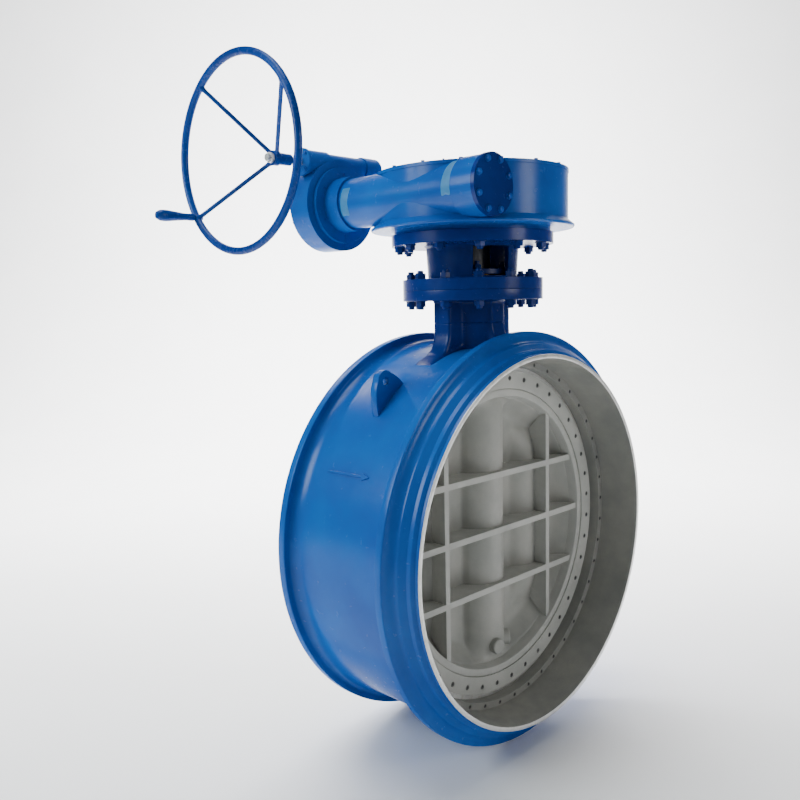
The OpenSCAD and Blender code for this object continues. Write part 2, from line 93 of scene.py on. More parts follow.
# ------------------------------------------------------------------ shader helpers
class Graph:
    """A short way to add and join shader nodes in one material."""

    def __init__(self, name: str) -> None:
        """Make an empty material.

        Args:
            name: the material's name.
        """
        self.mat = bpy.data.materials.new(name)
        self.mat.use_nodes = True
        self.tree = self.mat.node_tree
        self.tree.nodes.clear()
        self.out = self.tree.nodes.new("ShaderNodeOutputMaterial")
        self.coord = self.tree.nodes.new("ShaderNodeTexCoord").outputs["Object"]

    def node(self, kind: str, inputs: dict | None = None, **props: object) -> bpy.types.Node:
        """Add a node.

        Args:
            kind: the node's type name without its ShaderNode prefix.
            inputs: socket name to a value or an output socket to join.
            **props: properties set on the node.

        Returns:
            The new node.
        """
        made = self.tree.nodes.new("ShaderNode" + kind)
        for key, value in props.items():
            setattr(made, key, value)
        for key, value in (inputs or {}).items():
            socket = made.inputs[key]
            if isinstance(value, Socket):
                self.tree.links.new(value, socket)
            else:
                socket.default_value = value
        return made

    def noise(self, scale: float, detail: float = 4.0, rough: float = 0.55) -> Socket:
        """Give a noise factor in object space.

        Args:
            scale: cells a metre.
            detail: octaves.
            rough: how strong the fine octaves are.

        Returns:
            The factor output.
        """
        inputs = {"Vector": self.coord, "Scale": scale, "Detail": detail, "Roughness": rough}
        return self.node("TexNoise", inputs).outputs["Fac"]

    def ramp(self, factor: Socket, low: float, high: float, a: float = 0.0, b: float = 1.0) -> Socket:
        """Map a factor's range low..high to a..b, held at the ends.

        Args:
            factor: the value to map.
            low: the value that gives a.
            high: the value that gives b.
            a: first result.
            b: last result.

        Returns:
            The mapped value.
        """
        inputs = {"Value": factor, "From Min": low, "From Max": high, "To Min": a, "To Max": b}
        return self.node("MapRange", inputs).outputs["Result"]

    def mix(self, factor: Socket, one: tuple | Socket, two: tuple | Socket) -> Socket:
        """Mix two colours.

        Args:
            factor: 0 for the first, 1 for the second.
            one: first colour.
            two: second colour.

        Returns:
            The colour output.
        """
        made = self.tree.nodes.new("ShaderNodeMix")
        made.data_type = "RGBA"
        self.tree.links.new(factor, made.inputs[0])
        for index, value in ((6, one), (7, two)):
            if isinstance(value, Socket):
                self.tree.links.new(value, made.inputs[index])
            else:
                made.inputs[index].default_value = (*value[:3], 1.0)
        return made.outputs[2]

    def bump(
        self, height: Socket, distance: float, strength: float = 1.0, normal: Socket | None = None
    ) -> Socket:
        """Turn a height into a bumped normal.

        Args:
            height: the height factor.
            distance: metres from factor 0 to 1.
            strength: how much of it to use.
            normal: a normal to start from.

        Returns:
            The normal output.
        """
        inputs: dict = {"Height": height, "Distance": distance, "Strength": strength}
        if normal is not None:
            inputs["Normal"] = normal
        return self.node("Bump", inputs).outputs["Normal"]

    def finish(self, **sockets: object) -> bpy.types.Material:
        """Close the material with one Principled shader.

        Args:
            **sockets: Principled socket names, with _ for a space, to a value or socket.

        Returns:
            The material.
        """
        named = {key.replace("_", " "): value for key, value in sockets.items()}
        shader = self.node("BsdfPrincipled", named)
        self.tree.links.new(shader.outputs[0], self.out.inputs[0])
        return self.mat


@dataclass(frozen=True)
class Enamel:
    """Glossy brushed-on enamel over a cast or rolled surface."""

    name: str
    light: Point
    dark: Point
    roughness: float = 0.24
    cast: float = 0.0002
    peel: float = 0.00005

    def build(self) -> bpy.types.Material:
        """Make the material: slow tone drift, thin spots, casting waves and orange peel.

        Returns:
            The material.
        """
        g = Graph(self.name)
        drift = g.ramp(g.noise(3.2, 3.0), 0.35, 0.65)
        fine = g.ramp(g.noise(55.0, 5.0, 0.7), 0.55, 0.8, 0.0, 0.12)
        tone = g.mix(drift, self.dark, self.light)
        worn = tuple(c * 0.5 for c in self.dark)
        tone = g.mix(fine, tone, worn)
        rough = g.ramp(g.noise(38.0, 4.0, 0.65), 0.3, 0.75, self.roughness - 0.03, self.roughness + 0.05)
        edge = g.node("Bevel", {"Radius": 0.002}, samples=4).outputs["Normal"]
        wave = g.bump(g.noise(26.0, 3.0), self.cast, 1.0, edge)
        peel = g.bump(g.noise(330.0, 2.0), self.peel, 1.0, wave)
        gloss = g.ramp(g.node("LayerWeight", {"Blend": 0.4}).outputs["Facing"], 0.12, 0.55, 0.3, 0.02)
        return g.finish(Base_Color=tone, Roughness=rough, Normal=peel, Specular_IOR_Level=gloss)


@dataclass(frozen=True)
class GreyCoat:
    """Matt grey coating sprayed over cast and machined faces."""

    name: str
    base: Point = (0.25, 0.255, 0.237)
    dusty: Point = (0.325, 0.32, 0.292)
    roughness: float = 0.55

    def build(self) -> bpy.types.Material:
        """Make the material: soft blotches, fine speckle, runs and a sandy bump.

        Returns:
            The material.
        """
        g = Graph(self.name)
        blotch = g.ramp(g.noise(6.0, 5.0, 0.6), 0.36, 0.66)
        tone = g.mix(blotch, self.base, self.dusty)
        speck = g.ramp(g.noise(240.0, 3.0, 0.7), 0.62, 0.76, 0.0, 0.5)
        tone = g.mix(speck, tone, tuple(c * 0.55 for c in self.base))
        rough = g.ramp(g.noise(30.0, 4.0), 0.3, 0.7, self.roughness - 0.12, self.roughness + 0.12)
        wave = g.bump(g.noise(22.0, 3.0), 0.0005)
        sand = g.bump(g.noise(420.0, 3.0, 0.6), 0.00012, 1.0, wave)
        return g.finish(Base_Color=tone, Roughness=rough, Normal=sand, Specular_IOR_Level=0.45)


@dataclass(frozen=True)
class TurnedMetal:
    """Machined metal with fine tool marks and slight staining."""

    name: str
    base: Point
    stain: Point
    roughness: float = 0.32
    metallic: float = 1.0
    marks: float = 900.0

    def build(self) -> bpy.types.Material:
        """Make the material: stains by noise, tool marks as a fine stretched bump.

        Returns:
            The material.
        """
        g = Graph(self.name)
        spots = g.ramp(g.noise(34.0, 6.0, 0.7), 0.5, 0.74, 0.0, 0.7)
        tone = g.mix(spots, self.base, self.stain)
        rough = g.ramp(g.noise(70.0, 4.0), 0.3, 0.7, self.roughness - 0.08, self.roughness + 0.14)
        mark = g.bump(g.noise(self.marks, 2.0, 0.8), 0.00004)
        return g.finish(Base_Color=tone, Roughness=rough, Normal=mark, Metallic=self.metallic)


@dataclass(frozen=True)
class SoftPacking:
    """Graphite packing and gasket sheet, matt and slightly fibrous."""

    name: str
    base: Point = (0.03, 0.03, 0.033)

    def build(self) -> bpy.types.Material:
        """Make the material: fibre noise in colour and bump.

        Returns:
            The material.
        """
        g = Graph(self.name)
        fibre = g.noise(300.0, 6.0, 0.8)
        tone = g.mix(g.ramp(fibre, 0.4, 0.7), self.base, tuple(c * 2.4 for c in self.base))
        rough = g.ramp(fibre, 0.3, 0.7, 0.55, 0.85)
        return g.finish(Base_Color=tone, Roughness=rough, Normal=g.bump(fibre, 0.0002))


@dataclass(frozen=True)
class MaskingTape:
    """Pale blue adhesive tape stuck over the enamel."""

    name: str
    base: Point = (0.02, 0.21, 0.47)

    def build(self) -> bpy.types.Material:
        """Make the material: creped paper lines and faint creases.

        Returns:
            The material.
        """
        g = Graph(self.name)
        inputs = {"Vector": g.coord, "Scale": 260.0, "Distortion": 6.0, "Detail": 3.0}
        crepe = g.node("TexWave", inputs, bands_direction="Y").outputs["Fac"]
        tone = g.mix(g.ramp(g.noise(40.0), 0.3, 0.7), self.base, tuple(c * 0.82 for c in self.base))
        rough = g.ramp(crepe, 0.0, 1.0, 0.42, 0.58)
        return g.finish(Base_Color=tone, Roughness=rough, Normal=g.bump(crepe, 0.00008))


@dataclass(frozen=True)
class FloorPaint:
    """The plain pale floor."""

    name: str

    def build(self) -> bpy.types.Material:
        """Make the material: nearly white with a barely seen mottle.

        Returns:
            The material.
        """
        g = Graph(self.name)
        tone = g.mix(g.ramp(g.noise(1.5, 3.0), 0.3, 0.7), (0.93, 0.93, 0.93), (0.9, 0.9, 0.905))
        return g.finish(Base_Color=tone, Roughness=0.6, Specular_IOR_Level=0.2)


class Palette:
    """Every finish of the valve, built once and handed to the pieces."""

    def __init__(self) -> None:
        """Build all materials."""
        self.blue = Enamel("blue_enamel", (0.0, 0.11, 0.45), (0.0, 0.075, 0.36)).build()
        self.deep = Enamel("deep_blue_enamel", (0.0, 0.03, 0.22), (0.0, 0.018, 0.14), 0.3).build()
        self.rim = Enamel("handwheel_enamel", (0.0, 0.055, 0.3), (0.0, 0.03, 0.2), 0.26, 0.0002).build()
        self.grey = GreyCoat("grey_coat").build()
        # the grey coat made lighter, as painted light, for the lit faces of the retainer ring, ribs, pins and
        # disc rim
        self.pale = GreyCoat("grey_coat_painted_light", (0.41, 0.415, 0.385), (0.5, 0.5, 0.465), 0.5).build()
        self.steel = TurnedMetal("machined_steel", (0.62, 0.63, 0.64), (0.36, 0.35, 0.33)).build()
        self.lip = TurnedMetal("bare_weld_lip", (0.72, 0.72, 0.70), (0.45, 0.42, 0.37), 0.38).build()
        self.dark_steel = TurnedMetal("oxide_steel", (0.16, 0.16, 0.165), (0.08, 0.075, 0.07), 0.42).build()
        self.bronze = TurnedMetal("bronze", (0.62, 0.42, 0.18), (0.36, 0.22, 0.09), 0.34).build()
        self.packing = SoftPacking("graphite_packing").build()
        self.red = Enamel("red_enamel", (0.55, 0.03, 0.02), (0.42, 0.02, 0.015), 0.3).build()
        self.tape = MaskingTape("masking_tape").build()
        self.cast = GreyCoat("cast_grey_coat", (0.33, 0.335, 0.31), (0.42, 0.415, 0.38), 0.5).build()
        # the blue enamel made darker, as painted shade, for the yoke, neck, neck flange and worm end cap,
        # which sit in shade
        self.painted_shade_blue = Enamel("blue_enamel_painted_shade", (0.0, 0.028, 0.2), (0.0, 0.016, 0.14)).build()
        self.bolt = Enamel("bolt_enamel", (0.0, 0.09, 0.42), (0.0, 0.05, 0.3), 0.28, 0.0001).build()
        self.screw = TurnedMetal("oxide_screw", (0.15, 0.15, 0.145), (0.06, 0.06, 0.058), 0.6, 0.4).build()
        self.floor = FloorPaint("pale_floor").build()


# ------------------------------------------------------------------ the frame's own places
def stem_y() -> float:
    """Give where the stem stands along the pipe axis, in metres: the middle of its box."""
    low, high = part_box("stem")
    return (low[1] + high[1]) / 2


def centre_of(node: str) -> Array:
    """Give the middle of a CAD node's box at rest, in millimetres, with Y counted from the stem."""
    low, high = (np.asarray(c, float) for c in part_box(node))
    return (low + high) / 2 * 1000 - np.array([0, stem_y() * 1000, 0])


# ------------------------------------------------------------------ surfaces
class Surface:
    """Plain vertex and face arrays of one piece, in millimetres about the stem, with material numbers."""

    def __init__(self, verts: Array, faces: list[Array], mats: list[Array] | None = None) -> None:
        """Keep the arrays.

        Args:
            verts: (n, 3) points.
            faces: arrays of corner numbers, one array for each corner count.
            mats: a material number for each face of each array.
        """
        self.verts = np.asarray(verts, float)
        self.faces = faces
        self.mats = mats or [np.zeros(len(f), int) for f in faces]

    @staticmethod
    def grid(
        points: Array, wrap_u: bool = False, wrap_v: bool = False, mats: Array | None = None
    ) -> "Surface":
        """Join an (n, m) grid of points into quads.

        Args:
            points: (n, m, 3) array, rows along u and columns along v.
            wrap_u: whether the last row joins the first.
            wrap_v: whether the last column joins the first.
            mats: a material number for each row of quads.

        Returns:
            The surface.
        """
        n, m = points.shape[:2]
        i = np.arange(n if wrap_u else n - 1)
        j = np.arange(m if wrap_v else m - 1)
        a, b = np.meshgrid(i, j, indexing="ij")
        c, d = (a + 1) % n, (b + 1) % m
        quads = np.stack([a * m + b, a * m + d, c * m + d, c * m + b], -1).reshape(-1, 4)
        rows = np.zeros(len(i), int) if mats is None else np.asarray(mats)[: len(i)]
        return Surface(points.reshape(-1, 3), [quads], [np.repeat(rows, len(j))])

    @staticmethod
    def join(parts: Iterable["Surface"]) -> "Surface":
        """Put several surfaces into one.

        Args:
            parts: the surfaces.

        Returns:
            One surface with all of their faces.
        """
        verts, faces, mats, start = [], [], [], 0
        for part in parts:
            verts.append(part.verts)
            faces += [f + start for f in part.faces]
            mats += part.mats
            start += len(part.verts)
        return Surface(np.concatenate(verts), faces, mats)

    def placed(self, frames: Array) -> "Surface":
        """Repeat the surface at each of many placings.

        Args:
            frames: (k, 3, 4) matrices, a turn and a shift.

        Returns:
            One surface with k copies.
        """
        verts = np.einsum("kij,nj->kni", frames[:, :, :3], self.verts) + frames[:, None, :, 3]
        k, n = len(frames), len(self.verts)
        faces = [(f[None] + (np.arange(k) * n)[:, None, None]).reshape(-1, f.shape[1]) for f in self.faces]
        return Surface(verts.reshape(-1, 3), faces, [np.tile(m, k) for m in self.mats])

    def piece(
        self,
        name: str,
        body: Body,
        finishes: Sequence[bpy.types.Material],
        slot: str,
        replaces: Sequence[str] = (),
        sharp: float = 34.0,
    ) -> bpy.types.Object:
        """Make the Blender object, welded, facing outwards and riding on its body.

        Args:
            name: the piece's name.
            body: the body that it moves with.
            finishes: its materials, in the order of the material numbers.
            slot: the record's material slot name; not used.
            replaces: CAD nodes that it stands for.
            sharp: the angle in degrees past which an edge is shown sharp.

        Returns:
            The object.
        """
        verts = self.verts * 0.001
        verts[:, 1] += stem_y()
        mesh = bpy.data.meshes.new(name)
        mesh.from_pydata(verts.tolist(), [], [row for f in self.faces for row in f.tolist()])
        mesh.polygons.foreach_set("material_index", np.concatenate(self.mats).astype(np.int32))
        work = bmesh.new()
        work.from_mesh(mesh)
        bmesh.ops.remove_doubles(work, verts=work.verts, dist=2e-6)
        bmesh.ops.dissolve_degenerate(work, dist=1e-6, edges=work.edges)
        bmesh.ops.recalc_face_normals(work, faces=work.faces)
        work.to_mesh(mesh)
        work.free()
        mesh.polygons.foreach_set("use_smooth", np.ones(len(mesh.polygons), bool))
        mesh.set_sharp_from_angle(angle=math.radians(sharp))
        for mat in finishes:
            mesh.materials.append(mat)
        made = bpy.data.objects.new(name, mesh)
        bpy.context.scene.collection.objects.link(made)
        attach(made, body.value)
        if replaces:
            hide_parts(*replaces)
        LOG.info("%s: %d faces on %s", name, len(mesh.polygons), body.value)
        return made


def soften(
    corners: Sequence[tuple[float, float]], radius: float = 1.5, steps: int = 3, closed: bool = True
) -> Array:
    """Round the corners of a polyline.

    Each corner becomes a quadratic curve between points a radius away on its two sides.

    Args:
        corners: the polyline.
        radius: how far from a corner the rounding starts, at most 0.4 of a side.
        steps: spans in each rounding.
        closed: whether the last corner joins the first.

    Returns:
        (n, 2) points.
    """
    p = np.asarray(corners, float)
    before, after = np.roll(p, 1, 0), np.roll(p, -1, 0)
    lb = np.linalg.norm(before - p, axis=1, keepdims=True)
    la = np.linalg.norm(after - p, axis=1, keepdims=True)
    a = p + (before - p) * np.minimum(radius / np.maximum(lb, 1e-9), 0.4)
    b = p + (after - p) * np.minimum(radius / np.maximum(la, 1e-9), 0.4)
    if not closed:
        a[0] = b[0] = p[0]
        a[-1] = b[-1] = p[-1]
    t = np.linspace(0, 1, steps + 1)[None, :, None]
    curve = (1 - t) ** 2 * a[:, None] + 2 * t * (1 - t) * p[:, None] + t**2 * b[:, None]
    return curve.reshape(-1, 2)


def quarter(ra: float, ya: float, rb: float, yb: float, steps: int = 8) -> list[tuple[float, float]]:
    """Quarter ellipse, hollow side out.

    The radius eases from ra to rb by 1 - sin t while the place eases from ya to yb by 1 - cos t.

    Args:
        ra: first radius.
        ya: first place along the axis.
        rb: last radius.
        yb: last place along the axis.
        steps: spans.

    Returns:
        The points.
    """
    t = np.linspace(0, math.pi / 2, steps + 1)
    return list(zip(rb + (ra - rb) * (1 - np.sin(t)), ya + (yb - ya) * (1 - np.cos(t))))


def turned(
    profile: Array,
    axis: Axis,
    centre: Point = (0, 0, 0),
    segments: int = 96,
    closed: bool = True,
    mats: Array | None = None,
) -> Surface:
    """Solid of revolution: each profile point (radius, place) goes round the axis.

    Args:
        profile: (n, 2) radius and place along the axis.
        axis: the axis turned about.
        centre: a point on the axis, added to every place.
        segments: spans round the axis.
        closed: whether the profile is a closed loop.
        mats: a material number for each span of the profile.

    Returns:
        The surface.
    """
    t = np.linspace(0, 2 * math.pi, segments, endpoint=False)
    r, s = np.asarray(profile)[:, :1], np.asarray(profile)[:, 1:]
    c, d, s = r * np.cos(t), r * np.sin(t), s + 0 * t
    order = {Axis.X: (s, c, d), Axis.Y: (c, s, d), Axis.Z: (c, d, s)}[axis]
    return Surface.grid(np.stack(order, -1) + np.asarray(centre, float), closed, True, mats)


def swept(path: Array, radii: Array, segments: int = 24, closed: bool = False) -> Surface:
    """Round tube: a circle of the given radius stands square to the path at each point.

    Args:
        path: (n, 3) points.
        radii: (n,) radii.
        segments: spans round the tube.
        closed: whether the path is a loop.

    Returns:
        The surface, its ends closed with a point.
    """
    path = np.asarray(path, float)
    along = np.gradient(path, axis=0) if not closed else np.roll(path, -1, 0) - np.roll(path, 1, 0)
    along /= np.linalg.norm(along, axis=1, keepdims=True)
    seed = np.array([0.31, 0.47, 0.83])
    side = np.cross(along, seed)
    side /= np.linalg.norm(side, axis=1, keepdims=True)
    other = np.cross(along, side)
    t = np.linspace(0, 2 * math.pi, segments, endpoint=False)[None, :, None]
    spokes = np.cos(t) * side[:, None] + np.sin(t) * other[:, None]
    ring = path[:, None] + np.asarray(radii)[:, None, None] * spokes
    if not closed:
        first, last = (np.repeat(end, segments, 1) for end in (path[:1, None], path[-1:, None]))
        ring = np.concatenate([first, ring, last])
    return Surface.grid(ring, closed, True)


def circle_frames(
    count: int,
    radius: float,
    start: float,
    axis: Axis,
    place: float = 0.0,
    centre: Point = (0, 0, 0),
    flip: bool = False,
    skip: Sequence[int] = (),
) -> Array:
    """Placings on a bolt circle, each with its own Z along the circle's axis.

    Args:
        count: how many.
        radius: of the circle.
        start: angle of the first, in degrees.
        axis: the circle's axis.
        place: along the axis.
        centre: the circle's centre.
        flip: whether each one points down the axis.
        skip: numbers that are left out.

    Returns:
        (k, 3, 4) matrices.
    """
    keep = np.setdiff1d(np.arange(count), np.asarray(skip, int))
    a = np.radians(start + keep * 360.0 / count)
    c, s, o, e = radius * np.cos(a), radius * np.sin(a), np.full(len(a), place), np.zeros(len(a))
    spot = {Axis.X: (o, c, s), Axis.Y: (c, o, s), Axis.Z: (c, s, o)}[axis]
    turn = {
        Axis.X: [[0, 0, 1], [1, 0, 0], [0, 1, 0]],
        Axis.Y: [[1, 0, 0], [0, 0, 1], [0, -1, 0]],
        Axis.Z: [[1, 0, 0], [0, 1, 0], [0, 0, 1]],
    }[axis]
    turn = np.array(turn, float)
    if flip:
        turn = turn @ np.diag([1.0, -1.0, -1.0])
    rows = ((np.cos(a), -np.sin(a), e), (np.sin(a), np.cos(a), e), (e, e, e + 1))
    spin = np.stack([np.stack(row, -1) for row in rows], 1)
    shift = (np.stack(spot, -1) + np.asarray(centre))[:, :, None]
    return np.concatenate([np.einsum("ij,kjl->kil", turn, spin), shift], 2)


def closed_ends(loops: Array) -> Array:
    """Close both ends of a stack of loops in a point at the loop's middle.

    Args:
        loops: (n, m, 3) points, one loop a row.

    Returns:
        (n + 2, m, 3) points.
    """
    ends = (loops[:1].mean(1, keepdims=True), loops[-1:].mean(1, keepdims=True))
    first, last = (np.repeat(end, loops.shape[1], 1) for end in ends)
    return np.concatenate([first, loops, last])


@dataclass(frozen=True)
class Hex:
    """A hexagon nut or bolt head with chamfered corners, a washer under it and a stud end above it."""

    across: float
    height: float
    stud: float = 0.0
    rise: float = 0.0
    washer: float = 0.0
    segments: int = 24

    def surface(self) -> Surface:
        """Polar surface about Z: the radius is the hexagon's, cut by a 30 degree cone at the top corners.

        Returns:
            The surface, standing on z = 0.
        """
        t = np.linspace(0, 2 * math.pi, self.segments, endpoint=False)
        flat = self.across / 2
        hexa = flat / np.cos((t + math.pi / 6) % (math.pi / 3) - math.pi / 6)
        one = np.ones_like(t)
        h0 = self.washer
        top = h0 + self.height
        levels = [(0 * one, 0 * one)]
        if self.washer:
            w = flat * 1.28
            levels += [(w * one, 0 * one), (w * one, h0 * 0.7 * one), ((w - h0 * 0.3) * one, h0 * one)]
        face = flat * 0.96  # the flat ring left on top inside the chamfer
        levels += [(hexa, h0 * one), (hexa, top - (hexa - face) * 0.577), (face * one, top * one)]
        if self.rise:
            s, tip = self.stud, top + self.rise
            levels += [(s * one, top * one), (s * one, (tip - s * 0.22) * one), (s * 0.76 * one, tip * one)]
        levels.append((0 * one, levels[-1][1]))
        pts = np.stack([np.stack([r * np.cos(t), r * np.sin(t), z], -1) for r, z in levels])
        return Surface.grid(pts, False, True)


@dataclass(frozen=True)
class SocketScrew:
    """A small screw head sunk in its ring: a rounded rim and a dark socket."""

    radius: float
    depth: float
    socket: float

    def surface(self) -> Surface:
        """Turned profile: up the rim, over a rounded edge and down into the socket.

        Returns:
            The surface, its top at z = 0.
        """
        r, d, s = self.radius, self.depth, self.socket
        profile = np.array([(0, -d), (r, -d), (r, -0.8), (r - 0.8, 0), (s, 0), (s, -d * 0.6), (0, -d * 0.6)])
        return turned(profile, Axis.Z, segments=12, closed=False)


@dataclass
class Skin:
    """Finishes for the CAD nodes that are shown as they are."""

    palette: Palette

    def table(self) -> dict[str, bpy.types.Material]:
        """Give each kept node its finish.

        Returns:
            Node name to material.
        """
        p = self.palette
        names = {
            p.blue: "gear_housing gear_cover input_housing input_rear_cover input_end_flange "
            "bottom_cover flow_arrow body_casting",
            # the yoke and worm end cap take the darker copy of the blue enamel: painted shade
            p.painted_shade_blue: "yoke worm_end_cap",
            p.deep: "gland_flange grease_nipples",
            p.bolt: "input_joint_screws",
            p.rim: "crank_pin handwheel crank_grip",
            # the disc's ribs, retainer ring and pins take the lighter copy of the grey coat: painted light
            p.pale: "disc_ribs_upright disc_ribs_level seal_retainer_ring disc_pins",
            p.grey: "seat_clamp_ring disc_casting disc_hub",
            p.lip: "seal_pack seat_ring",
            p.bronze: "lower_bush upper_bush thrust_disc gland_bush wheel_bushes main_worm_wheel "
            "small_worm_wheel",
            p.packing: "packing_rings bottom_gasket seal_gasket",
            p.red: "position_pointer",
            p.dark_steel: "stem main_worm_shaft main_worm_thread input_worm_thread stem_key "
            "small_wheel_key handwheel_key worm_bearings input_bearings",
        }
        return {name: mat for mat, group in names.items() for name in group.split()}

    def dress(self, frame: dict) -> None:
        """Paint every CAD node, the ones that are replaced too.
        """
        table = self.table()
        for name, node in frame["nodes"].items():
            node.data.materials.clear()
            node.data.materials.append(table.get(name, self.palette.steel))
        LOG.info("cad nodes dressed: %d", len(frame["nodes"]))


@dataclass
class BodyCasting:
    """The cast body: ringed barrel with weld ends, neck with four webs, flange, foot and lifting lugs."""

    palette: Palette
    half: float = 297.0
    bore: float = 597.0
    barrel: float = 636.0
    front_ring: float = 683.0
    rear_ring: float = 675.0
    neck: float = 100.0
    web: float = 35.0
    flange: float = 236.0
    flange_low: float = 787.0
    flange_top: float = 821.4
    parting: float = 712.6
    lug_angle: float = 128.0
    eye_radius: float = 13.0
    eye_place: float = 690.5
    lug_middle: float = 11.0

    def barrel_shell(self) -> Surface:
        """Turned profile round Y: lips, weld tapers, both rings with hollow fillets, barrel and stepped bore.

        Returns:
            The surface, 0 enamel outside, 1 bare lips, 2 grey bore.
        """
        h, f, r = self.half, self.front_ring, self.rear_ring
        outer = [(611, -h), (612, -h + 13), (625, -h + 19), (626, -h + 33), (641, -h + 46)]
        outer += quarter(f - 5, -221, 645, -h + 50)[::-1]
        outer += [(f - 1, -220), (f, -217), (f, -196), (f - 2, -194)]
        outer += quarter(660, -194, self.barrel, -158) + quarter(658, 217, self.barrel, 172)[::-1]
        outer += [(r - 2, 217), (r, 219), (r, 245), (r - 2, 247), (655, 247)]
        outer += [(628, h - 22), (614, h - 12), (611, h)]
        inner = [(self.bore, h), (self.bore, h - 30), (590, 152), (572, 108), (572, -88)]
        inner += [(590, -88), (590, -152), (self.bore, 30 - h), (self.bore, -h)]
        profile = soften(outer + inner, 1.4, 2)
        mid = (profile + np.roll(profile, -1, 0)) / 2
        bare = np.abs(mid[:, 1]) > h - 2.2
        inside = (mid[:, 0] < 604) & ~bare
        return turned(profile, Axis.Y, segments=256, mats=np.where(bare, 1, np.where(inside, 2, 0)))

    def neck_tube(self) -> Surface:
        """Polar surface round Z: a high-power mean of a cylinder and two rounded boxes, the webs.

        The webs' half lengths ease out in quarter curves. The foot of each column of points stands on the
        barrel and flares out by a small hollow fillet. A shallow groove runs round at the parting line.

        Returns:
            The surface.
        """
        t = np.linspace(0, 2 * math.pi, 288, endpoint=False)
        co, si = np.abs(np.cos(t)) + 1e-6, np.abs(np.sin(t)) + 1e-6

        def ease(z: Array, r1: float, z1: float, r2: float, z2: float) -> Array:
            """Half length of a web at height z: a quarter curve from r1 at z1 to r2 at z2, held outside."""
            s = np.clip((z - z1) / (z2 - z1), 0, 1)
            return r2 + (r1 - r2) * (1 - np.sqrt(1 - (1 - s) ** 2))

        def radius(z: Array) -> Array:
            """Radius of the neck at each angle.

            Args:
                z: heights, one a row.

            Returns:
                The radii.
            """
            x, y = ease(z, 236, 596, 163, 690), ease(z, 160, 640, 105, 715)
            box, blend, w = 18.0, 11.0, self.web  # the powers: squareness of the webs, tightness of the union
            bx = ((co / x) ** box + (si / w) ** box) ** (-1 / box)
            by = ((si / y) ** box + (co / w) ** box) ** (-1 / box)
            return (self.neck**blend + bx**blend + by**blend) ** (1 / blend)

        rise = np.array([-9, -3, 0, 1.5, 4, 8, 13, 19, 26, 34, 44, 56])[:, None]
        z = np.full((len(rise), len(t)), 640.0) + rise
        for _ in range(12):
            flare = 20 * (1 - np.sqrt(1 - (1 - np.clip(rise / 22, 0, 1)) ** 2))
            r = radius(z) + flare
            z = np.sqrt(self.barrel**2 - np.minimum(r * co, 600) ** 2) + rise
        low, low_z = r, z
        share = np.linspace(0, 1, 14)[1:-1, None]
        mid_z = low_z[-1] + (704 - low_z[-1]) * share
        seam = [704, 707, 709.5, 711, 712, self.parting, 713.2, 714.2, 716]
        high = np.array(seam + [722, 740, 760, 773, 779, 783, 786, 788])[:, None] + 0 * t
        groove = 1.8 * np.exp(-(((high - self.parting) / 0.9) ** 2))
        top = 9 * (1 - np.sqrt(1 - np.clip((high - 777) / 10, 0, 1) ** 2))
        z = np.concatenate([low_z, mid_z, high])
        r = np.concatenate([low, radius(mid_z), radius(high) - groove + top])
        pts = np.stack([r * np.cos(t), r * np.sin(t), z], -1)
        core = np.stack([40 * np.cos(t), 40 * np.sin(t), 0 * t], -1)[None]
        ends = [core + [0, 0, 600.0], pts, core + [0, 0, 788.0]]
        return Surface.grid(np.concatenate(ends), False, True)

    def neck_flange(self) -> Surface:
        """Turned ring round Z with rounded rims and the gland pocket's bore.

        Returns:
            The surface.
        """
        f, lo, hi = self.flange, self.flange_low, self.flange_top
        profile = [(85, lo - 20), (97, lo - 20), (100, lo), (f, lo), (f, hi), (85, hi)]
        return turned(soften(profile, 2.4, 4), Axis.Z, segments=160)

    def foot(self) -> Surface:
        """Turned boss under the barrel, its root eased into the wall by a hollow quarter curve.

        Returns:
            The surface.
        """
        root = quarter(150, -622, 122, -646, 6)
        profile = [(73, -590), (150, -600)] + root + [(122, -654.9), (73, -654.9)]
        return turned(soften(profile, 1.2, 2), Axis.Z, segments=96)

    def lug(self, side: int) -> Surface:
        """Plate with an eye: rays from the eye's centre run to the outline, with rounded edges.

        Args:
            side: -1 for the lug on the worm side, 1 for its mirror image.

        Returns:
            The surface.
        """
        nose = [(74, -31.2), (82, -26.3), (88.5, -19), (93, -9.5), (94.5, 0), (93, 9.5), (89, 18.4)]
        root = [(14, 88), (-4, 96), (-14, 60), (-16, 0), (-14, -40), (0, -52)]
        outline = np.array([(20, -51), (44, -44), (66.4, -33.5)] + nose + [(83.3, 25.2)] + root)
        outline = soften(outline, 3.0, 2) - [60.5, 0]
        angle = np.arctan2(outline[:, 1], outline[:, 0])
        order = np.argsort(angle)
        t = np.linspace(-math.pi, math.pi, 120, endpoint=False)
        reach = 1 / np.interp(t, angle[order], 1 / np.hypot(*outline[order].T), period=2 * math.pi)
        share = np.array([0, 0, 0.02, 0.5, 0.98, 1, 1, 1, 1, 0.98, 0.5, 0.02, 0, 0])
        inset = np.array([0, 0, 0, 0, 0, -1.6, 0, 0, -1.6, 0, 0, 0, 0, 0])
        place = np.array([0, 11.4, 13, 13, 13, 12.6, 10.6, -10.6, -12.6, -13, -13, -13, -11.4, 0])
        r = self.eye_radius + (reach[None] - self.eye_radius) * share[:, None] + inset[:, None]
        a = math.radians(self.lug_angle)
        out, tan = self.eye_place + r * np.cos(t), r * np.sin(t)
        x, z = out * math.cos(a) - tan * math.sin(a), out * math.sin(a) + tan * math.cos(a)
        y = self.lug_middle + place[:, None] + 0 * t
        return Surface.grid(np.stack([-side * x, y, z], -1), True, True)

